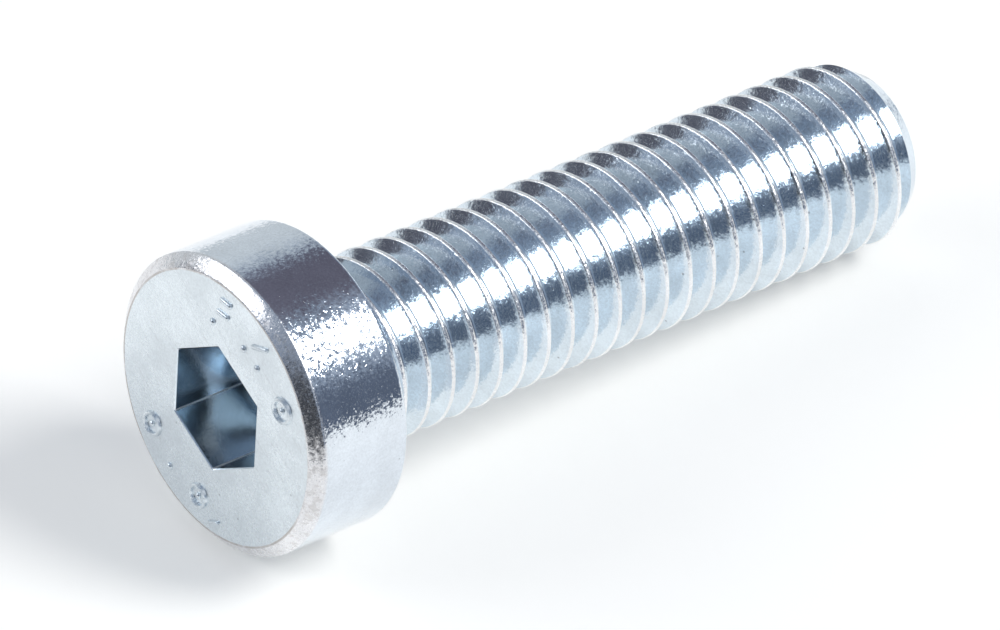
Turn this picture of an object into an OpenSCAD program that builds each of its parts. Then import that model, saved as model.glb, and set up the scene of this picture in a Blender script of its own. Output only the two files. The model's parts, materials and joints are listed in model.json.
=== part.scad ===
// Low head socket cap screw, M8 coarse thread, lying on the edge of its head and on its last crest.
// The screw is drawn along its own axis, from the outer face of the head to the point, and then laid down.

/* [Head] */
// Diameter of the head
head_d = 12.9; // [11:0.1:16]
// Height of the head, from the outer face to the bearing face
head_h = 4.7; // [4:0.1:8]
// Radius with which the outer face turns down at its edge
face_edge_r = 1.2; // [1:0.1:2]
// How far in from the side that curve begins
face_edge_w = 0.9; // [0.3:0.1:0.9]
// Rounding of the edge between the side and the bearing face
back_edge_r = 0.2; // [0.05:0.05:0.5]

/* [Socket] */
// Width of the hexagon socket across its flats
socket_af = 5.05; // [4:0.05:6]
// Depth at which the point of the socket begins, at its corners
socket_depth = 3.8; // [2:0.1:4]
// Angle of the conical bottom, from side to side
socket_point_angle = 130; // [110:5:170]
// Turn of the socket about the axis of the screw
socket_turn = 58.6; // [0:0.2:60]

/* [Shank] */
// Length from the bearing face to the end of the screw
shank_len = 29.8; // [16:0.1:60]
// Diameter of the plain neck under the head
neck_d = 7.1; // [6.8:0.05:7.4]
// Length of the plain neck, up to the first trace of thread
neck_len = 0.9; // [0.6:0.1:6]
// Fillet between the neck and the bearing face
neck_fillet_r = 0.5; // [0.45:0.05:0.6]

/* [Thread] */
// Outer diameter of the thread, over the crests
thread_d = 7.9; // [7.7:0.02:8]
// Distance from one crest to the next
pitch = 1.25; // [1:0.25:1.5]
// Angle between the two flanks
flank_angle = 60; // [55:1:60]
// Length over which the thread rises out of the neck
run_in_len = 0.8; // [0.4:0.1:2]
// Turn of the helix about the axis of the screw
thread_turn = 30; // [0:1:359]

/* [Point] */
// Diameter of the flat end
point_d = 6.2; // [5:0.1:6.6]
// Angle between the axis and the side of the point
point_angle = 32; // [25:1:50]
// Rounding of the edge of the flat end
point_edge_r = 0.3; // [0.1:0.05:0.5]

/* [Hidden] */

head_r = head_d / 2;
neck_r = neck_d / 2;
crest_r = thread_d / 2;
point_r = point_d / 2;
shank_end = head_h + shank_len;

// Head: where the flat of its outer face ends
flat_r = head_r - face_edge_w;

// Thread form: a flat crest and a flat root, each of an eighth of the pitch
crest_flat = pitch / 8;
root_flat = pitch / 8;
flank_run = (pitch - crest_flat - root_flat) / 2;
thread_depth = flank_run / tan(flank_angle / 2);
root_r = crest_r - thread_depth;
thread_start = head_h + neck_len;
// Straight segments in one turn of the helix
turn_steps = 32;
// How far a cutting shape reaches past the surface that it cuts
past = 0.5;
// The helix starts inside the neck and ends beyond the point, and is cut to length there
helix_start = thread_start - pitch - past;
helix_steps = turn_steps * ceil((shank_end + past - helix_start) / pitch);
run_in_slope = (crest_r - neck_r) / run_in_len;

// Socket
socket_corner_r = socket_af / 2 / cos(30);
socket_point_h = socket_corner_r / tan(socket_point_angle / 2);

// Point: where its rounded edge and its cone end
point_round_r = point_r - point_edge_r * (1 - sin(point_angle)) / cos(point_angle);

// Rest: the rounded back edge of the head and the last full crest touch one level plane
point_len = (crest_r - point_r) / tan(point_angle);
crest_reach = shank_end - point_len - (head_h - back_edge_r);
edge_reach = head_r - back_edge_r - crest_r;
rest_tilt = atan2(edge_reach, crest_reach) + asin(back_edge_r / norm([edge_reach, crest_reach]));
axis_h = (head_h - back_edge_r) * sin(rest_tilt) + (head_r - back_edge_r) * cos(rest_tilt) + back_edge_r;
head_reach = face_edge_r - face_edge_r * cos(rest_tilt) + flat_r * sin(rest_tilt);
point_reach = point_edge_r + (shank_end - point_edge_r) * cos(rest_tilt) + point_round_r * sin(rest_tilt);

// The head in section: its outer face turns down in a large curve that the side cuts off
module head_section() {
    square([flat_r, face_edge_r]);
    intersection() {
        translate([flat_r, face_edge_r]) circle(face_edge_r, $fn = 96);
        translate([0, -past]) square([head_r, face_edge_r + past]);
    }
    translate([0, face_edge_r]) square([head_r, head_h - face_edge_r - back_edge_r]);
    translate([0, head_h - back_edge_r]) square([head_r - back_edge_r, back_edge_r]);
    translate([head_r - back_edge_r, head_h - back_edge_r]) circle(back_edge_r, $fn = 48);
}

// The neck in section, with the concave fillet at the bearing face and the taper that the first grooves cut into
module neck_section() {
    taper_start = thread_start + run_in_len / 2;
    taper_end = taper_start + run_in_len * (neck_r - root_r + past) / (neck_r - root_r);
    polygon([[0, 0], [neck_r, 0], [neck_r, taper_start], [root_r - past, taper_end], [0, taper_end]]);
    difference() {
        translate([0, head_h - past]) square([neck_r + neck_fillet_r, neck_fillet_r + past]);
        translate([neck_r + neck_fillet_r, head_h + neck_fillet_r]) circle(neck_fillet_r, $fn = 48);
    }
}

// What the thread stays inside, in section: a cone out of the neck, a clear cylinder, a cone to the point and its rounded edge
module thread_bounds_section() {
    clear_r = crest_r + past;
    polygon([
        [0, thread_start - past],
        [neck_r - past * run_in_slope, thread_start - past],
        [clear_r, thread_start + run_in_len + past / run_in_slope],
        [clear_r, shank_end - (clear_r - point_r) / tan(point_angle)],
        [point_round_r + point_edge_r * cos(point_angle), shank_end - point_edge_r * (1 - sin(point_angle))],
        [point_round_r, shank_end],
        [0, shank_end]
    ]);
    translate([point_round_r, shank_end - point_edge_r]) circle(point_edge_r, $fn = 48);
}

// One point of the thread: i steps along the helix, on corner j of the thread form
function form_corner(j) = [
    [root_r, 0],
    [root_r, root_flat],
    [crest_r, root_flat + flank_run],
    [crest_r, root_flat + flank_run + crest_flat]
][j];
function thread_point(i, j) =
    let (corner = form_corner(j), turn = thread_turn + 360 * i / turn_steps)
    [corner[0] * cos(turn), corner[0] * sin(turn), helix_start + corner[1] + pitch * i / turn_steps];

// Where that point stands in the list: the lower root edge comes first and is one turn longer than the others,
// because the form's last flank ends on the root edge of the turn above
root_edge = helix_steps + turn_steps + 1;
function thread_index(i, j) =
    j == 0 ? i
    : j == 4 ? i + turn_steps
    : root_edge + (j - 1) * (helix_steps + 1) + i;

// The bare thread: a helical band of root, flank, crest and flank, closed by a fan of triangles at each end
module thread_helix() {
    low = root_edge + 3 * (helix_steps + 1);
    high = low + 1;
    points = concat(
        [for (i = [0:root_edge - 1]) thread_point(i, 0)],
        [for (j = [1:3], i = [0:helix_steps]) thread_point(i, j)],
        [[0, 0, helix_start + pitch / 2], [0, 0, helix_start + pitch / 2 + pitch * helix_steps / turn_steps]]
    );
    band = [
        for (i = [0:helix_steps - 1], j = [0:3], half = [0, 1])
            half == 0
                ? [thread_index(i, j), thread_index(i, j + 1), thread_index(i + 1, j + 1)]
                : [thread_index(i, j), thread_index(i + 1, j + 1), thread_index(i + 1, j)]
    ];
    // One turn of root edge and then back down the form, at step i
    function rim(i) = concat([for (k = [0:turn_steps]) i + k], [for (j = [3:-1:1]) thread_index(i, j)]);
    low_rim = rim(0);
    high_rim = rim(helix_steps);
    last = len(low_rim) - 1;
    low_fan = [for (k = [0:last]) [low, low_rim[k], low_rim[k == last ? 0 : k + 1]]];
    high_fan = [for (k = [0:last]) [high, high_rim[k == last ? 0 : k + 1], high_rim[k]]];
    polyhedron(points, concat(band, low_fan, high_fan), convexity = 10);
}

// The hexagon socket: straight sides that end in a cone, as its punch leaves them
module socket() {
    intersection() {
        rotate([0, 0, socket_turn]) translate([0, 0, -past])
            cylinder(r = socket_corner_r, h = past + socket_depth + socket_point_h, $fn = 6);
        rotate_extrude($fn = 96) polygon([
            [0, -2 * past],
            [socket_corner_r + past, -2 * past],
            [socket_corner_r + past, socket_depth - past / tan(socket_point_angle / 2)],
            [0, socket_depth + socket_point_h]
        ]);
    }
}

// The whole screw along +Z, with the centre of its outer face at the origin
module upright_screw() {
    difference() {
        union() {
            rotate_extrude($fn = 96) {
                head_section();
                neck_section();
            }
            intersection() {
                rotate_extrude($fn = 96) thread_bounds_section();
                thread_helix();
            }
        }
        socket();
    }
}

module screw() {
    color([0.78, 0.82, 0.86])
        translate([(head_reach - point_reach) / 2, 0, axis_h])
            rotate([0, 90 + rest_tilt, 0]) upright_screw();
}

screw();
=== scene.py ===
import json
import math
import bmesh
import bpy
from mathutils import Matrix, Vector


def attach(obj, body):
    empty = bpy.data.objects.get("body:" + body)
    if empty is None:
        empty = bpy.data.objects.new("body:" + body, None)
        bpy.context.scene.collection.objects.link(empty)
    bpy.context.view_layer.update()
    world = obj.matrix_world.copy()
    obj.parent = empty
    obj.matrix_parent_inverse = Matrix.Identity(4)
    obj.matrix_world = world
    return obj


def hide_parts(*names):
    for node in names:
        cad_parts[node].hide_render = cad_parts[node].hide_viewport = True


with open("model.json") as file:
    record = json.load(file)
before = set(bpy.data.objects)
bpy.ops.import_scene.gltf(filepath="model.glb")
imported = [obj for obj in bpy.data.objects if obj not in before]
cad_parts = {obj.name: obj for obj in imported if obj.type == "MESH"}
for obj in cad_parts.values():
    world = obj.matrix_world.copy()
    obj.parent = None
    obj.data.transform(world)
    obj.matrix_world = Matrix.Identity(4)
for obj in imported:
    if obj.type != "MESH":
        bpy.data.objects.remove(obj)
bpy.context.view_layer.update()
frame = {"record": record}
mm = 0.001

# Where the screw lies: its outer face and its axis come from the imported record
mounts = {mount["name"]: mount for mount in frame["record"]["mounts"]}
faceCentre = Vector(mounts["hex_socket"]["pos_m"])
towardsPoint = -Vector(mounts["hex_socket"]["axis"]).normalized()
acrossFloor = Vector((0, 1, 0))
downwards = acrossFloor.cross(towardsPoint)
laidAxes = Matrix((downwards, acrossFloor, towardsPoint)).transposed()
layDown = Matrix.Translation(faceCentre) @ laidAxes.to_4x4()

# How close to a rounding its straight neighbour is held, so that the rounding's shading ends there
hold = 0.03 * mm
# How far a cutting shape reaches past the surface that it cuts
past = 0.5 * mm


def newMesh(bm, name):
    mesh = bpy.data.meshes.new(name)
    bm.to_mesh(mesh)
    bm.free()
    return mesh


def newObject(mesh, name):
    thing = bpy.data.objects.new(name, mesh)
    bpy.context.scene.collection.objects.link(thing)
    return thing


def held(outline):
    # each long straight gets a point close to both of its ends
    points = [Vector(outline[0])]
    for start, end in zip(outline, outline[1:]):
        along = Vector(end) - Vector(start)
        if along.length > 6 * hold:
            points += [Vector(start) + along.normalized() * hold, Vector(end) - along.normalized() * hold]
        points.append(Vector(end))
    return points


def turnedSolid(name, outline, steps):
    # a closed solid from an outline that starts and ends on the axis
    bm = bmesh.new()
    corners = [bm.verts.new((radius, 0, height)) for radius, height in held(outline)]
    edges = [bm.edges.new(pair) for pair in zip(corners, corners[1:])]
    bmesh.ops.spin(bm, geom=corners + edges, cent=(0, 0, 0), axis=(0, 0, 1), dvec=(0, 0, 0),
                   angle=2 * math.pi, steps=steps, use_merge=True)
    bmesh.ops.remove_doubles(bm, verts=bm.verts, dist=0.0005 * mm)
    bmesh.ops.dissolve_degenerate(bm, edges=bm.edges, dist=0.0001 * mm)
    bmesh.ops.recalc_face_normals(bm, faces=bm.faces)
    return newObject(newMesh(bm, name), name)


def arc(centre, radius, start, end, steps):
    # points of a round corner, angles in degrees from outwards towards the point
    angles = [math.radians(start + (end - start) * step / steps) for step in range(steps + 1)]
    return [(centre[0] + radius * math.cos(a), centre[1] + radius * math.sin(a)) for a in angles]


def carriedOn(start, radius, startAngle, endAngle, steps):
    # an arc that carries an outline on from the point where it stands
    turn = math.radians(startAngle)
    centre = (start[0] - radius * math.cos(turn), start[1] - radius * math.sin(turn))
    return arc(centre, radius, startAngle, endAngle, steps)[1:]


def combine(target, tool, operation):
    change = target.modifiers.new("combine", "BOOLEAN")
    change.operation = operation
    change.solver = "MANIFOLD"
    change.object = tool
    evaluated = target.evaluated_get(bpy.context.evaluated_depsgraph_get())
    mesh = bpy.data.meshes.new_from_object(evaluated)
    target.modifiers.remove(change)
    target.data = mesh
    bpy.data.objects.remove(tool)


head = {
    "radius": 6.45 * mm,
    "height": 4.7 * mm,
    # the outer edge in three bends: their radius, and the slope against the face at which each one ends
    "edgeBends": ((0.1 * mm, 36), (3.65 * mm, 46), (0.12 * mm, 90)),
    "backRounding": 0.2 * mm,
    "roundingSteps": 6,
    "turnSteps": 256,
}

neck = {
    "radius": 3.55 * mm,
    "length": 0.9 * mm,
    "fillet": 0.5 * mm,
    "filletSteps": 6,
}

thread = {
    "crestRadius": 3.95 * mm,
    "pitch": 1.25 * mm,
    "flankAngle": 60,
    "runIn": 0.8 * mm,
    "turn": 30,
    "crestRounding": 0.055 * mm,
    "rootRounding": 0.07 * mm,
    "roundingSteps": 3,
    "turnSteps": 96,
}
# a flat crest and a flat root, each of an eighth of the pitch
thread["crestFlat"] = thread["pitch"] / 8
thread["rootFlat"] = thread["pitch"] / 8
thread["flankRun"] = (thread["pitch"] - thread["crestFlat"] - thread["rootFlat"]) / 2
thread["depth"] = thread["flankRun"] / math.tan(math.radians(thread["flankAngle"] / 2))
thread["rootRadius"] = thread["crestRadius"] - thread["depth"]
thread["start"] = head["height"] + neck["length"]
# the helix begins inside the neck
thread["helixStart"] = thread["start"] - thread["pitch"] - past

point = {
    "end": 34.5 * mm,
    "radius": 3.1 * mm,
    "angle": 32,
    "rounding": 0.3 * mm,
    "roundingSteps": 6,
}


def makeHeadAndNeck():
    radius, height = head["radius"], head["height"]
    back, fillet = head["backRounding"], neck["fillet"]
    outline = [(0, 0), (radius, 0)]
    slope = 0
    for bend, nextSlope in head["edgeBends"]:
        outline += carriedOn(outline[-1], bend, slope - 90, nextSlope - 90, head["roundingSteps"])
        slope = nextSlope
    # the flat of the face ends where the bends then reach the side
    bendWidth = outline[-1][0] - radius
    head["flatRadius"] = radius - bendWidth
    outline = [(0, 0)] + [(x - bendWidth, y) for x, y in outline[1:]]
    outline += arc((radius - back, height - back), back, 0, 90, head["roundingSteps"])
    outline += arc((neck["radius"] + fillet, height + fillet), fillet, 270, 180, neck["filletSteps"])
    # the taper that the first grooves cut into
    taperStart = thread["start"] + thread["runIn"] / 2
    innerRadius = thread["rootRadius"] - past
    taperSlope = (neck["radius"] - thread["rootRadius"]) / thread["runIn"]
    taperEnd = taperStart + (neck["radius"] - innerRadius) / taperSlope
    outline += [(neck["radius"], taperStart), (innerRadius, taperEnd), (0, taperEnd)]
    return turnedSolid("screwBody", outline, head["turnSteps"])


def roundedForm():
    # one pitch of the thread form from root to root, with its four corners rounded
    root, crest = thread["rootRadius"], thread["crestRadius"]
    flankEnd = thread["rootFlat"] + thread["flankRun"]
    corners = [
        (root, 0), (root, thread["rootFlat"]),
        (crest, flankEnd), (crest, flankEnd + thread["crestFlat"]),
        (root, thread["pitch"]), (root, thread["pitch"] + thread["rootFlat"]),
    ]
    corners = [Vector(corner) for corner in corners]
    atRoot, atCrest = thread["rootRounding"], thread["crestRounding"]
    roundings = (atRoot, atCrest, atCrest, atRoot)
    points = []
    for before, here, after, rounding in zip(corners, corners[1:], corners[2:], roundings):
        start = here + (before - here).normalized() * rounding
        end = here + (after - here).normalized() * rounding
        for step in range(thread["roundingSteps"] + 1):
            share = step / thread["roundingSteps"]
            points.append(start.lerp(here, share).lerp(here.lerp(end, share), share))
    # the form ends where it began, one pitch further on
    return points + [points[0] + Vector((0, thread["pitch"]))]


def makeThreadBounds():
    # what the thread stays inside: a cone out of the neck, a clear cylinder, and the rounded cone point
    clear = thread["crestRadius"] + past
    runInSlope = (thread["crestRadius"] - neck["radius"]) / thread["runIn"]
    lean = math.radians(point["angle"])
    rounding = point["rounding"]
    roundRadius = point["radius"] - rounding * (1 - math.sin(lean)) / math.cos(lean)
    outline = [
        (0, thread["start"] - past),
        (neck["radius"] - past * runInSlope, thread["start"] - past),
        (clear, thread["start"] + thread["runIn"] + past / runInSlope),
        (clear, point["end"] - (clear - point["radius"]) / math.tan(lean)),
    ]
    tipCentre = (roundRadius, point["end"] - rounding)
    outline += arc(tipCentre, rounding, point["angle"], 90, point["roundingSteps"])
    outline += [(0, point["end"])]
    return turnedSolid("threadBounds", outline, head["turnSteps"])


def makeThread():
    pitch, start = thread["pitch"], thread["helixStart"]
    turns = math.ceil((point["end"] + past - start) / pitch) + 1
    bm = bmesh.new()
    corners = [bm.verts.new((radius, 0, start + height)) for radius, height in held(roundedForm())]
    edges = [bm.edges.new(pair) for pair in zip(corners, corners[1:])]
    bmesh.ops.rotate(bm, verts=corners, cent=(0, 0, 0),
                     matrix=Matrix.Rotation(math.radians(thread["turn"]), 3, "Z"))
    bmesh.ops.spin(bm, geom=corners + edges, cent=(0, 0, 0), axis=(0, 0, 1),
                   dvec=(0, 0, pitch / thread["turnSteps"]), angle=2 * math.pi, steps=thread["turnSteps"])
    oneTurn = bm.verts[:] + bm.edges[:] + bm.faces[:]
    for turn in range(1, turns):
        copied = bmesh.ops.duplicate(bm, geom=oneTurn)["geom"]
        copiedVerts = [item for item in copied if isinstance(item, bmesh.types.BMVert)]
        bmesh.ops.translate(bm, verts=copiedVerts, vec=(0, 0, turn * pitch))
    bmesh.ops.remove_doubles(bm, verts=bm.verts, dist=0.002 * mm)
    # close each end with a fan that the cut to length takes away
    middle = start + turns * pitch / 2
    for low in (True, False):
        rim = [edge for edge in bm.edges if edge.is_boundary and (edge.verts[0].co.z < middle) == low]
        made = bmesh.ops.extrude_edge_only(bm, edges=rim)["geom"]
        tips = [item for item in made if isinstance(item, bmesh.types.BMVert)]
        height = sum(vert.co.z for vert in tips) / len(tips)
        bmesh.ops.pointmerge(bm, verts=tips, merge_co=(0, 0, height))
    bmesh.ops.recalc_face_normals(bm, faces=bm.faces)
    band = newObject(newMesh(bm, "threadBand"), "threadBand")
    combine(band, makeThreadBounds(), "INTERSECT")
    return band


socket = {
    "acrossFlats": 5.05 * mm,
    "depth": 3.8 * mm,
    "pointAngle": 130,
    "turn": 58.6,
    "edgeBreak": 0.06 * mm,
    "pointSteps": 96,
}
socket["cornerRadius"] = socket["acrossFlats"] / 2 / math.cos(math.pi / 6)
socket["tip"] = socket["depth"] + socket["cornerRadius"] / math.tan(math.radians(socket["pointAngle"] / 2))
socket["mouthRadius"] = socket["cornerRadius"] + socket["edgeBreak"]


def hexagonSolid(name, startRadius, endRadius, depth):
    bm = bmesh.new()
    bmesh.ops.create_cone(bm, cap_ends=True, segments=6, radius1=startRadius, radius2=endRadius, depth=depth,
                          matrix=Matrix.Rotation(math.radians(socket["turn"] + 30), 4, "Z"))
    return newObject(newMesh(bm, name), name)


def makeSocket():
    corner, tip = socket["cornerRadius"], socket["tip"]
    slope = math.tan(math.radians(socket["pointAngle"] / 2))
    hexagon = hexagonSolid("socketHexagon", corner, corner, 2 * tip)
    wide = corner + past
    outline = [(0, -past), (wide, -past), (wide, socket["depth"] - past / slope), (0, tip)]
    combine(hexagon, turnedSolid("socketPoint", outline, socket["pointSteps"]), "INTERSECT")
    # the broken edge of the mouth
    mouth = socket["mouthRadius"]
    combine(hexagon, hexagonSolid("socketMouth", mouth + past, mouth - past, 2 * past), "UNION")
    return hexagon


# Raised marks on the outer face, none of them a letter or a number: how far out and at which angle each one
# stands, then a bar's turn there, its length and width, or how wide a dot or a ring is from its middle
marks = {
    "height": 0.12 * mm,
    "root": 0.1 * mm,
    "barRounding": 0.11 * mm,
    "ringSteps": 24,
    "bars": (
        (4.58 * mm, 181.0, 90, 0.78 * mm, 0.26 * mm),
        (5.22 * mm, 182.5, 90, 0.74 * mm, 0.26 * mm),
        (4.95 * mm, 209.8, 42, 1.05 * mm, 0.22 * mm),
        (5.35 * mm, 356.0, 70, 0.70 * mm, 0.14 * mm),
    ),
    "dots": (
        (3.95 * mm, 172.5, 0.16 * mm),
        (4.00 * mm, 201.5, 0.16 * mm),
        (4.02 * mm, 215.7, 0.16 * mm),
        (4.62 * mm, 241.5, 0.14 * mm),
        (4.77 * mm, 52.6, 0.14 * mm),
        (5.00 * mm, 30.9, 0.17 * mm),
        (4.67 * mm, 8.2, 0.14 * mm),
    ),
    "rings": (
        (4.62 * mm, 241.5, 0.50 * mm, 0.11 * mm),
        (4.77 * mm, 52.6, 0.47 * mm, 0.10 * mm),
        (4.67 * mm, 8.2, 0.47 * mm, 0.10 * mm),
    ),
}


def markPlace(radius, angle, turn=0):
    around = Matrix.Rotation(math.radians(angle), 4, "Z")
    return around @ Matrix.Translation((radius, 0, 0)) @ Matrix.Rotation(math.radians(turn), 4, "Z")


def connectedVerts(start):
    found, waiting = {start}, [start]
    while waiting:
        for edge in waiting.pop().link_edges:
            fresh = [vert for vert in edge.verts if vert not in found]
            found.update(fresh)
            waiting += fresh
    return found


def addBar(bm, place, length, width):
    top, root = marks["height"], marks["root"]
    shape = Matrix.Diagonal((length, width, top + root, 1))
    shape.translation = (0, 0, (root - top) / 2)
    made = bmesh.ops.create_cube(bm, size=1, matrix=place @ shape)["verts"]
    # the edges above the face are rounded
    edges = {edge for vert in made for edge in vert.link_edges}
    edges = [edge for edge in edges if min(vert.co.z for vert in edge.verts) < 0]
    bmesh.ops.bevel(bm, geom=edges, offset=marks["barRounding"], offset_type="OFFSET", segments=3,
                    profile=0.5, affect="EDGES", clamp_overlap=True, material=-1)


def addRing(bm, place, size, width):
    # a low ridge, turned round its own middle
    top, root = marks["height"], marks["root"]
    section = ((-width, root), (-width, 0), (-width * 0.6, -top * 0.8), (0, -top),
               (width * 0.6, -top * 0.8), (width, 0), (width, root))
    corners = [bm.verts.new((size + out, 0, height)) for out, height in section]
    edges = [bm.edges.new(pair) for pair in zip(corners, corners[1:] + corners[:1])]
    bmesh.ops.spin(bm, geom=corners + edges, cent=(0, 0, 0), axis=(0, 0, 1), dvec=(0, 0, 0),
                   angle=2 * math.pi, steps=marks["ringSteps"], use_merge=True)
    bmesh.ops.transform(bm, matrix=place, verts=list(connectedVerts(edges[0].verts[0])))


def makeMarks():
    bm = bmesh.new()
    for radius, angle, turn, length, width in marks["bars"]:
        addBar(bm, markPlace(radius, angle, turn), length, width)
    for radius, angle, size in marks["dots"]:
        dome = markPlace(radius, angle) @ Matrix.Diagonal((size, size, marks["height"], 1))
        bmesh.ops.create_uvsphere(bm, u_segments=16, v_segments=12, radius=1, matrix=dome)
    for radius, angle, size, width in marks["rings"]:
        addRing(bm, markPlace(radius, angle), size, width)
    bmesh.ops.recalc_face_normals(bm, faces=bm.faces)
    return newObject(newMesh(bm, "faceMarks"), "faceMarks")


screwBody = makeHeadAndNeck()
combine(screwBody, makeThread(), "UNION")
combine(screwBody, makeSocket(), "DIFFERENCE")
combine(screwBody, makeMarks(), "UNION")
screwBody.data.transform(layDown)
screwBody.data.shade_smooth()
screwBody.data.set_sharp_from_angle(angle=math.radians(32))
print("screw body", len(screwBody.data.vertices), "vertices")

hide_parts("screw")
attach(screwBody, "root")


def addNode(tree, kind, inputs=(), **settings):
    # inputs: pairs of a socket's name or number and its value, or the output that feeds it
    node = tree.nodes.new(kind)
    for name, value in settings.items():
        setattr(node, name, value)
    for key, value in inputs:
        if isinstance(value, bpy.types.NodeSocket):
            tree.links.new(value, node.inputs[key])
        else:
            node.inputs[key].default_value = value
    return node


def calculate(tree, operation, *values):
    return addNode(tree, "ShaderNodeMath", list(enumerate(values)), operation=operation).outputs[0]


def vectorMath(tree, operation, first, second):
    values = [(0, first), ("Scale" if operation == "SCALE" else 1, second)]
    return addNode(tree, "ShaderNodeVectorMath", values, operation=operation).outputs["Vector"]


def alongAxis(tree, vector, axis):
    values = [(0, vector), (1, axis)]
    return addNode(tree, "ShaderNodeVectorMath", values, operation="DOT_PRODUCT").outputs["Value"]


def rise(tree, value, low, high):
    # 0 below the low limit, 1 above the high one, with a soft step between; it falls where low is the larger
    limits = [("Value", value), ("From Min", low), ("From Max", high)]
    return addNode(tree, "ShaderNodeMapRange", limits, interpolation_type="SMOOTHSTEP").outputs[0]


def blendColours(tree, share, start, end):
    return addNode(tree, "ShaderNodeMix", [(0, share), (6, start), (7, end)], data_type="RGBA").outputs[2]


def blendNumbers(tree, share, start, end):
    return addNode(tree, "ShaderNodeMix", [(0, share), (2, start), (3, end)]).outputs[0]


def newGroup(name, inputs, outputs, colours=()):
    tree = bpy.data.node_groups.new(name, "ShaderNodeTree")
    for socketName, value in inputs:
        given = tree.interface.new_socket(socketName, in_out="INPUT", socket_type="NodeSocketFloat")
        given.default_value = value
    for socketName in outputs + colours:
        socketType = "NodeSocketColor" if socketName in colours else "NodeSocketFloat"
        tree.interface.new_socket(socketName, in_out="OUTPUT", socket_type=socketType)
    return tree


# Where each mask of the screw begins and is full, as distances from the line or surface that it follows
zoneLimits = {
    "face": (0.03 * mm, 0.008 * mm),
    "faceSide": 0.3 * mm,
    "rimWidth": (0.07 * mm, 0.02 * mm),
    "rimDepth": (0.1 * mm, 0.05 * mm),
    "edgeInside": 0.06 * mm,
    "edgeDepth": (0.62 * mm, 0.42 * mm),
    "shank": (0.02 * mm, 0.1 * mm),
    "crest": (-0.06 * mm, -0.02 * mm),
    "socketMouth": (0.03 * mm, 0),
    "socketDepth": (0.02 * mm, 0.06 * mm),
    "socketTip": (0.05 * mm, 0),
    "cornerWidth": (0.03 * mm, 0.008 * mm),
    "wallEndWidth": (0.07 * mm, 0.02 * mm),
    "wallEndReach": (-0.15 * mm, 0),
}


def limitsFrom(start, name):
    return [start + distance for distance in zoneLimits[name]]


def makeScrewZones():
    # masks of the parts of the screw, from how far along its axis and how far out from it a point lies
    outputs = ("Face", "Rim", "Edge", "Socket", "Corner", "Crest", "Groove")
    tree = newGroup("screwZones", (), outputs)
    place = addNode(tree, "ShaderNodeTexCoord").outputs["Object"]
    fromFace = vectorMath(tree, "SUBTRACT", place, faceCentre)
    along = alongAxis(tree, fromFace, towardsPoint)
    outwards = vectorMath(tree, "SUBTRACT", fromFace, vectorMath(tree, "SCALE", towardsPoint, along))
    radius = addNode(tree, "ShaderNodeVectorMath", [(0, outwards)], operation="LENGTH").outputs["Value"]
    tip, flat = socket["tip"], head["flatRadius"]

    onFace = rise(tree, along, *zoneLimits["face"])
    insideEdge = rise(tree, radius, head["radius"], head["radius"] - zoneLimits["faceSide"])
    face = calculate(tree, "MULTIPLY", onFace, insideEdge)
    fromRim = calculate(tree, "ABSOLUTE", calculate(tree, "SUBTRACT", radius, flat))
    nearRim = rise(tree, fromRim, *zoneLimits["rimWidth"])
    rim = calculate(tree, "MULTIPLY", nearRim, rise(tree, along, *zoneLimits["rimDepth"]))
    outsideFlat = rise(tree, radius, flat - zoneLimits["edgeInside"], flat)
    edge = calculate(tree, "MULTIPLY", outsideFlat, rise(tree, along, *zoneLimits["edgeDepth"]))

    shank = rise(tree, along, *limitsFrom(head["height"], "shank"))
    farOut = rise(tree, radius, *limitsFrom(thread["crestRadius"], "crest"))
    crest = calculate(tree, "MULTIPLY", shank, farOut)
    groove = calculate(tree, "SUBTRACT", shank, crest)

    # inside the socket, where its finish paints the shade of the recess
    inSocket = rise(tree, radius, *limitsFrom(socket["mouthRadius"], "socketMouth"))
    belowFace = rise(tree, along, *zoneLimits["socketDepth"])
    deep = calculate(tree, "MULTIPLY", belowFace, rise(tree, along, *limitsFrom(tip, "socketTip")))
    inside = calculate(tree, "MULTIPLY", inSocket, deep)
    # inner corners of the socket, and the line where its walls meet its point, where the finish paints
    # whitish highlight lines
    fromCorner = calculate(tree, "SUBTRACT", socket["cornerRadius"], radius)
    cornerLine = rise(tree, fromCorner, *zoneLimits["cornerWidth"])
    pointSlope = (tip - socket["depth"]) / socket["cornerRadius"]
    wallEnd = calculate(tree, "MULTIPLY_ADD", fromCorner, pointSlope, socket["depth"])
    fromEnd = calculate(tree, "ABSOLUTE", calculate(tree, "SUBTRACT", along, wallEnd))
    nearWall = rise(tree, radius, *limitsFrom(socket["acrossFlats"] / 2, "wallEndReach"))
    endLine = calculate(tree, "MULTIPLY", rise(tree, fromEnd, *zoneLimits["wallEndWidth"]), nearWall)
    corner = calculate(tree, "MULTIPLY", inside, calculate(tree, "MAXIMUM", cornerLine, endLine))

    addNode(tree, "NodeGroupOutput", zip(outputs, (face, rim, edge, inside, corner, crest, groove)))
    return tree


# Patterns of the plating. A noise has a size, how many finer layers it holds and how strong those are. Round
# spots have a size, the share of the cells that hold one, and how far out a spot ends and is full
patterns = {
    "Tilt": {"size": 0.17 * mm, "detail": 4.0, "roughness": 0.75},
    "Crystal": {"size": 0.10 * mm, "detail": 3.0, "roughness": 0.7},
    "Spot": {"size": 0.085 * mm, "detail": 4.0, "roughness": 0.6},
    "Wave": {"size": 1.2 * mm, "detail": 1.0, "roughness": 0.5},
    "Cloud": {"size": 2.5 * mm, "detail": 5.0, "roughness": 0.62},
    "Wear": {"size": 0.35 * mm, "detail": 4.0, "roughness": 0.65},
    "Dimple": {"size": 0.13 * mm, "share": 0.4, "outer": 0.5, "inner": 0.05},
    "Pit": {"size": 0.9 * mm, "share": 0.45, "outer": 0.075, "inner": 0.03},
}

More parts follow.
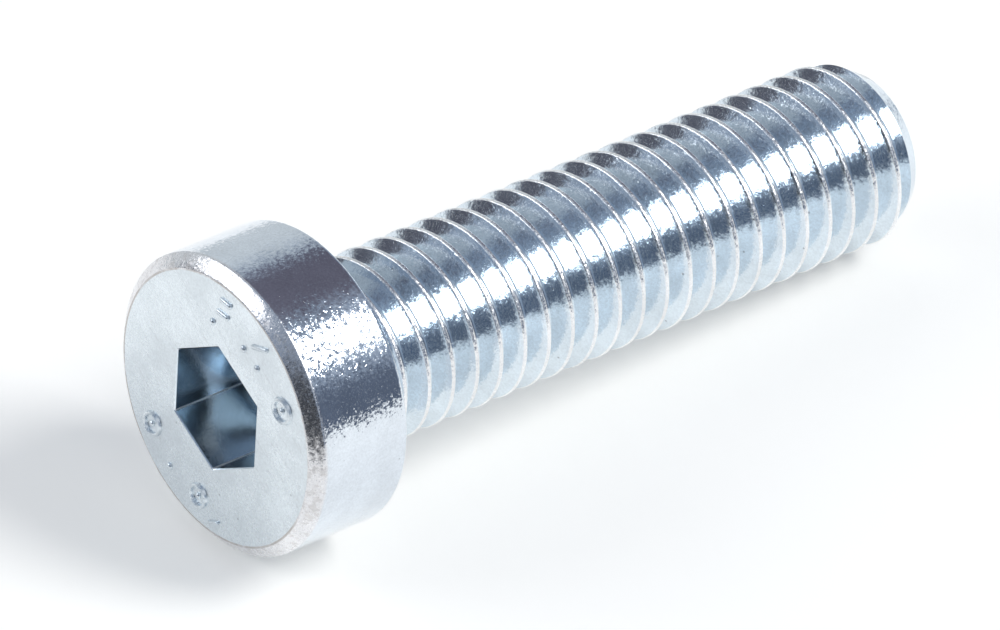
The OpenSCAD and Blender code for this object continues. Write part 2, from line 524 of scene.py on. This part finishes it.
# Fine scratches on the outer face: their direction, how long and how far apart they are, and where a line of
# them begins and is full
scratches = {
    "along": Vector((0, 0.8, 0.6)),
    "length": 5.0 * mm,
    "spacing": 0.5 * mm,
    "depth": 2.0 * mm,
    "line": (0.012, 0.003),
}


def makeScratches(tree, place):
    # thin level lines of a noise that is drawn out along one direction across the face
    across = towardsPoint.cross(scratches["along"]).normalized()
    stretches = ((across.cross(towardsPoint), scratches["length"]), (across, scratches["spacing"]),
                 (towardsPoint, scratches["depth"]))
    lengths = [calculate(tree, "MULTIPLY", alongAxis(tree, place, axis), 1 / size)
               for axis, size in stretches]
    drawnOut = addNode(tree, "ShaderNodeCombineXYZ", list(enumerate(lengths))).outputs[0]
    settings = [("Vector", drawnOut), ("Scale", 1.0), ("Detail", 2.0)]
    streaks = addNode(tree, "ShaderNodeTexNoise", settings).outputs["Fac"]
    offLine = calculate(tree, "ABSOLUTE", calculate(tree, "SUBTRACT", streaks, 0.5))
    return rise(tree, offLine, *scratches["line"])


def makePlatingGrain():
    # crystals of the zinc and how they tilt, dimples among them, slow waves of the metal below, clouds,
    # patches of wear, pits and scratches
    inputs = [(name + " Size", pattern["size"]) for name, pattern in patterns.items()]
    outputs = ("Crystals", "Spots", "Dimples", "Waves", "Clouds", "Wear", "Pits", "Scratches")
    tree = newGroup("platingGrain", inputs, outputs, ("Tilts",))
    given = addNode(tree, "NodeGroupInput").outputs
    place = addNode(tree, "ShaderNodeTexCoord").outputs["Object"]

    def noise(name, output="Fac"):
        pattern = patterns[name]
        settings = [("Vector", place), ("Scale", calculate(tree, "DIVIDE", 1, given[name + " Size"])),
                    ("Detail", pattern["detail"]), ("Roughness", pattern["roughness"])]
        return addNode(tree, "ShaderNodeTexNoise", settings).outputs[output]

    def roundSpots(name):
        pattern = patterns[name]
        settings = [("Vector", place), ("Scale", calculate(tree, "DIVIDE", 1, given[name + " Size"]))]
        cells = addNode(tree, "ShaderNodeTexVoronoi", settings)
        tone = addNode(tree, "ShaderNodeSeparateColor", [(0, cells.outputs["Color"])]).outputs[0]
        chosen = rise(tree, tone, 1 - pattern["share"], 1 - pattern["share"] + 0.02)
        spot = rise(tree, cells.outputs["Distance"], pattern["outer"], pattern["inner"])
        return calculate(tree, "MULTIPLY", spot, chosen)

    addNode(tree, "NodeGroupOutput", (
        ("Crystals", noise("Crystal")),
        ("Spots", noise("Spot")),
        ("Dimples", roundSpots("Dimple")),
        ("Waves", noise("Wave")),
        ("Clouds", noise("Cloud")),
        ("Wear", noise("Wear")),
        ("Pits", roundSpots("Pit")),
        ("Scratches", makeScratches(tree, place)),
        ("Tilts", noise("Tilt", "Color")),
    ))
    return tree


# Finish of each part of the screw: its colour and roughness, how much rougher its spots are, the height of
# its crystals and the depth of its dimples in thousandths of a mm, and how far the crystals tilt its mirror
finish = {
    "side": {"colour": (0.80, 0.855, 0.915, 1), "roughness": 0.07, "spots": 2.4,
             "crystals": 3.0, "dimples": 3.0, "tilt": 0.38},
    "groove": {"colour": (0.76, 0.84, 0.905, 1), "roughness": 0.12, "spots": 1.6,
               "crystals": 2.0, "dimples": 1.5, "tilt": 0.22},
    "crest": {"colour": (0.96, 0.965, 0.97, 1), "roughness": 0.20, "spots": 1.8,
              "crystals": 8.0, "dimples": 5.0, "tilt": 0.8},
    "face": {"colour": (0.79, 0.85, 0.89, 1), "roughness": 0.26, "spots": 1.2,
             "crystals": 4.0, "dimples": 5.0, "tilt": 0.15},
    "edge": {"colour": (0.82, 0.82, 0.84, 1), "roughness": 0.19, "spots": 1.6,
             "crystals": 4.0, "dimples": 5.0, "tilt": 0.35},
    # painted shade: the darker, bluer colour inside the socket stands in for the shade of the recess
    "socket": {"colour": (0.60, 0.69, 0.76, 1), "roughness": 0.14, "spots": 1.2,
               "crystals": 1.0, "dimples": 0.6, "tilt": 0.06},
    # painted highlight: the near-white, rough finish makes the socket's corners and the line at its point
    # show as bright lines
    "corner": {"colour": (0.97, 0.97, 0.98, 1), "roughness": 0.55, "spots": 1.0,
               "crystals": 6.0, "dimples": 2.0, "tilt": 0.2},
    "worn": {"colour": (0.58, 0.55, 0.53, 1), "roughness": 0.36, "spots": 1.2,
             "crystals": 4.0, "dimples": 3.0, "tilt": 0.3},
}

# Changes over the whole plating. Each pair holds the values in the hollows and on the heights of its pattern
plating = {
    "wornRim": (0.40, 0.52),
    "wornEdge": (0.50, 0.62),
    "wornEdgeShare": 0.4,
    "patternLimits": (0.3, 0.7),
    "cloudShade": (0.91, 1.04),
    "crystalShade": (0.92, 1.04),
    "cloudRoughness": (1.25, 0.8),
    "cloudTilt": (1.5, 0.6),
    # how much the clouds add to the spots, and where the spots then begin and are full
    "spotCrowding": 0.6,
    "spotLimits": (0.80, 0.86),
    "pitColour": (0.22, 0.23, 0.25, 1),
    "pitShare": 0.6,
    "scratchColour": (0.50, 0.51, 0.53, 1),
    "scratchShare": 0.22,
    # heights in thousandths of a mm
    "waveHeight": 8.0,
    "pitDepth": 5.0,
    "scratchDepth": 1.5,
}


def platingRelief(tree, grain, look, scratched):
    height = calculate(tree, "MULTIPLY", grain["Crystals"], look["crystals"])
    height = calculate(tree, "MULTIPLY_ADD", grain["Waves"], plating["waveHeight"], height)
    for hollow, depth in ((grain["Dimples"], look["dimples"]), (grain["Pits"], plating["pitDepth"]),
                          (scratched, plating["scratchDepth"])):
        height = calculate(tree, "SUBTRACT", height, calculate(tree, "MULTIPLY", hollow, depth))
    return height


def makePlating():
    paint = bpy.data.materials.new("zincPlating")
    paint.use_nodes = True
    tree = paint.node_tree
    shader = tree.nodes["Principled BSDF"]
    shader.inputs["Metallic"].default_value = 1
    zones = addNode(tree, "ShaderNodeGroup", node_tree=makeScrewZones()).outputs
    grain = addNode(tree, "ShaderNodeGroup", node_tree=makePlatingGrain()).outputs
    # the inner rim of the outer edge is worn in long pieces, the rest of that edge in spots
    wornRim = calculate(tree, "MULTIPLY", zones["Rim"], rise(tree, grain["Clouds"], *plating["wornRim"]))
    wornEdge = calculate(tree, "MULTIPLY", zones["Edge"], rise(tree, grain["Wear"], *plating["wornEdge"]))
    wornEdge = calculate(tree, "MULTIPLY", wornEdge, plating["wornEdgeShare"])
    worn = calculate(tree, "MAXIMUM", wornRim, wornEdge)
    look = dict(finish["side"])
    for name, mask in (("groove", zones["Groove"]), ("crest", zones["Crest"]), ("face", zones["Face"]),
                       ("edge", zones["Edge"]), ("socket", zones["Socket"]), ("corner", zones["Corner"]),
                       ("worn", worn)):
        for key, value in finish[name].items():
            mix = blendColours if key == "colour" else blendNumbers
            look[key] = mix(tree, mask, look[key], value)

    cloud = rise(tree, grain["Clouds"], *plating["patternLimits"])
    crystal = rise(tree, grain["Crystals"], *plating["patternLimits"])
    shade = calculate(tree, "MULTIPLY", blendNumbers(tree, cloud, *plating["cloudShade"]),
                      blendNumbers(tree, crystal, *plating["crystalShade"]))
    colour = vectorMath(tree, "SCALE", look["colour"], shade)
    pitted = calculate(tree, "MULTIPLY", grain["Pits"], plating["pitShare"])
    colour = blendColours(tree, pitted, colour, plating["pitColour"])
    scratched = calculate(tree, "MULTIPLY", grain["Scratches"], zones["Face"])
    scratchTone = calculate(tree, "MULTIPLY", scratched, plating["scratchShare"])
    colour = blendColours(tree, scratchTone, colour, plating["scratchColour"])
    tree.links.new(colour, shader.inputs["Base Color"])

    # rougher spots crowd where there are clouds
    clouded = blendNumbers(tree, cloud, *plating["cloudRoughness"])
    roughness = calculate(tree, "MULTIPLY", look["roughness"], clouded)
    crowding = calculate(tree, "MULTIPLY_ADD", grain["Clouds"], plating["spotCrowding"], grain["Spots"])
    spotted = blendNumbers(tree, rise(tree, crowding, *plating["spotLimits"]), 1.0, look["spots"])
    tree.links.new(calculate(tree, "MULTIPLY", roughness, spotted), shader.inputs["Roughness"])

    # each crystal mirrors a slightly different part of the room
    amount = calculate(tree, "MULTIPLY", look["tilt"], blendNumbers(tree, cloud, *plating["cloudTilt"]))
    offMiddle = vectorMath(tree, "SUBTRACT", grain["Tilts"], (0.5, 0.5, 0.5))
    facing = addNode(tree, "ShaderNodeNewGeometry").outputs["Normal"]
    tilted = vectorMath(tree, "ADD", facing, vectorMath(tree, "SCALE", offMiddle, amount))
    tilted = addNode(tree, "ShaderNodeVectorMath", [(0, tilted)], operation="NORMALIZE").outputs[0]
    bump = addNode(tree, "ShaderNodeBump", [("Strength", 1.0), ("Distance", 0.001 * mm), ("Normal", tilted),
                                            ("Height", platingRelief(tree, grain, look, scratched))])
    tree.links.new(bump.outputs[0], shader.inputs["Normal"])
    return paint


screwBody.data.materials.clear()
screwBody.data.materials.append(makePlating())
print("plating: masks of", len(finish), "finishes")

studio = {
    "cameraPlace": (-288.36 * mm, -347.68 * mm, 347.13 * mm),
    "cameraForward": (0.50548, 0.61447, -0.60574),
    "lens": 502.0,
    "sensorWidth": 36,
    "farLimit": 10,
}


def makeCamera():
    camera = bpy.data.objects.new("camera", bpy.data.cameras.new("camera"))
    bpy.context.scene.collection.objects.link(camera)
    camera.data.lens = studio["lens"]
    camera.data.sensor_width = studio["sensorWidth"]
    camera.data.clip_end = studio["farLimit"]
    camera.location = studio["cameraPlace"]
    camera.rotation_euler = Vector(studio["cameraForward"]).to_track_quat("-Z", "Y").to_euler()
    bpy.context.scene.camera = camera


makeCamera()


def direction(azimuth, elevation):
    # azimuth in degrees from +Y towards +X
    az, el = math.radians(azimuth), math.radians(elevation)
    return Vector((math.sin(az) * math.cos(el), math.cos(az) * math.cos(el), math.sin(el)))


floorLook = {
    # corners of the white sheet, in mm
    "corners": ((-20, -64), (80, -64), (80, 50), (-208, 288)),
    "colour": (0.95, 0.928, 0.88, 1),
    # what is added where it is seen directly or mirrored
    "whitening": 0.2,
}


def makeFloor():
    bm = bmesh.new()
    bm.faces.new([bm.verts.new((x * mm, y * mm, 0)) for x, y in floorLook["corners"]])
    floor = newObject(newMesh(bm, "floor"), "floor")
    paint = bpy.data.materials.new("paleFloor")
    paint.use_nodes = True
    tree = paint.node_tree
    tree.nodes.clear()
    matt = addNode(tree, "ShaderNodeBsdfDiffuse", [("Color", floorLook["colour"])]).outputs[0]
    rays = addNode(tree, "ShaderNodeLightPath").outputs
    seen = calculate(tree, "MAXIMUM", rays["Is Camera Ray"], rays["Is Glossy Ray"])
    seen = calculate(tree, "MAXIMUM", seen, rays["Is Transmission Ray"])
    strength = calculate(tree, "MULTIPLY", seen, floorLook["whitening"])
    white = addNode(tree, "ShaderNodeEmission", [("Strength", strength)]).outputs[0]
    both = addNode(tree, "ShaderNodeAddShader", [(0, matt), (1, white)]).outputs[0]
    addNode(tree, "ShaderNodeOutputMaterial", [("Surface", both)])
    floor.data.materials.append(paint)


makeFloor()

# The room as the plating mirrors it: grey overhead, with paler and darker parts round the screw. Each one is
# full within one angle from its middle and gone at its edge
room = {
    "overhead": (0.275, 0.33, 0.42, 1),
    "parts": {
        "paleBackdrop": {"middle": (12, 5), "colour": (0.62, 0.66, 0.69, 1), "edge": 50, "full": 26},
        "paleAbove": {"middle": (14, 52), "colour": (0.50, 0.52, 0.55, 1), "edge": 26, "full": 8},
        "darkBehind": {"middle": (72, 46), "colour": (0.13, 0.125, 0.165, 1), "edge": 26, "full": 12},
        "darkRight": {"middle": (156, 4), "colour": (0.115, 0.14, 0.195, 1), "edge": 26, "full": 16},
        "darkLeft": {"middle": (-118, 2), "colour": (0.05, 0.055, 0.065, 1), "edge": 32, "full": 18},
        "darkGap": {"middle": (-37, 4), "colour": (0.085, 0.085, 0.11, 1), "edge": 16, "full": 10},
        "paleRight": {"middle": (170, 50), "colour": (0.85, 0.88, 0.92, 1), "edge": 30, "full": 18},
    },
    "backdrop": (1, 1, 1, 1),
}


def makeRoom():
    world = bpy.data.worlds.new("studio")
    bpy.context.scene.world = world
    world.use_nodes = True
    tree = world.node_tree
    tree.nodes.clear()
    where = addNode(tree, "ShaderNodeTexCoord").outputs["Generated"]
    total = room["overhead"]
    for part in room["parts"].values():
        facing = alongAxis(tree, where, direction(*part["middle"]))
        curve = addNode(tree, "ShaderNodeValToRGB", [(0, facing)])
        curve.color_ramp.interpolation = "EASE"
        for element, angle in zip(curve.color_ramp.elements, (part["edge"], part["full"])):
            element.position = math.cos(math.radians(angle))
        total = blendColours(tree, curve.outputs[0], total, part["colour"])
    # the camera itself sees white past the floor
    rays = addNode(tree, "ShaderNodeLightPath").outputs
    shown = blendColours(tree, rays["Is Camera Ray"], total, room["backdrop"])
    background = addNode(tree, "ShaderNodeBackground", [("Color", shown)]).outputs[0]
    addNode(tree, "ShaderNodeOutputWorld", [("Surface", background)])


makeRoom()

# Soft boxes: where each one stands and the angles that it covers, as seen from the screw, and how bright its
# cloth is
softBoxDistance = 1000 * mm
softBoxes = {
    "keyBox": {"shape": "ELLIPSE", "middle": (140.5, 46), "roll": -35, "wide": 18.5, "high": 30,
               "brightness": 13},
    "backBox": {"shape": "RECTANGLE", "middle": (-48, 32), "roll": 20, "wide": 42, "high": 18,
                "brightness": 3},
}


def makeSoftBox(name, box):
    lamp = bpy.data.lights.new(name, "AREA")
    lamp.shape = box["shape"]
    lamp.size = 2 * softBoxDistance * math.tan(math.radians(box["wide"] / 2))
    lamp.size_y = 2 * softBoxDistance * math.tan(math.radians(box["high"] / 2))
    cloth = lamp.size * lamp.size_y * (math.pi / 4 if box["shape"] == "ELLIPSE" else 1)
    lamp.energy = box["brightness"] * math.pi * cloth
    thing = bpy.data.objects.new(name, lamp)
    place = direction(*box["middle"])
    thing.location = place * softBoxDistance
    rolled = Matrix.Rotation(math.radians(box["roll"]), 3, "Z")
    thing.rotation_euler = (place.to_track_quat("Z", "Y").to_matrix() @ rolled).to_euler()
    bpy.context.scene.collection.objects.link(thing)


for boxName, box in softBoxes.items():
    makeSoftBox(boxName, box)
print("studio: floor, room and", len(softBoxes), "soft boxes")

bpy.context.scene.view_settings.view_transform = "Standard"
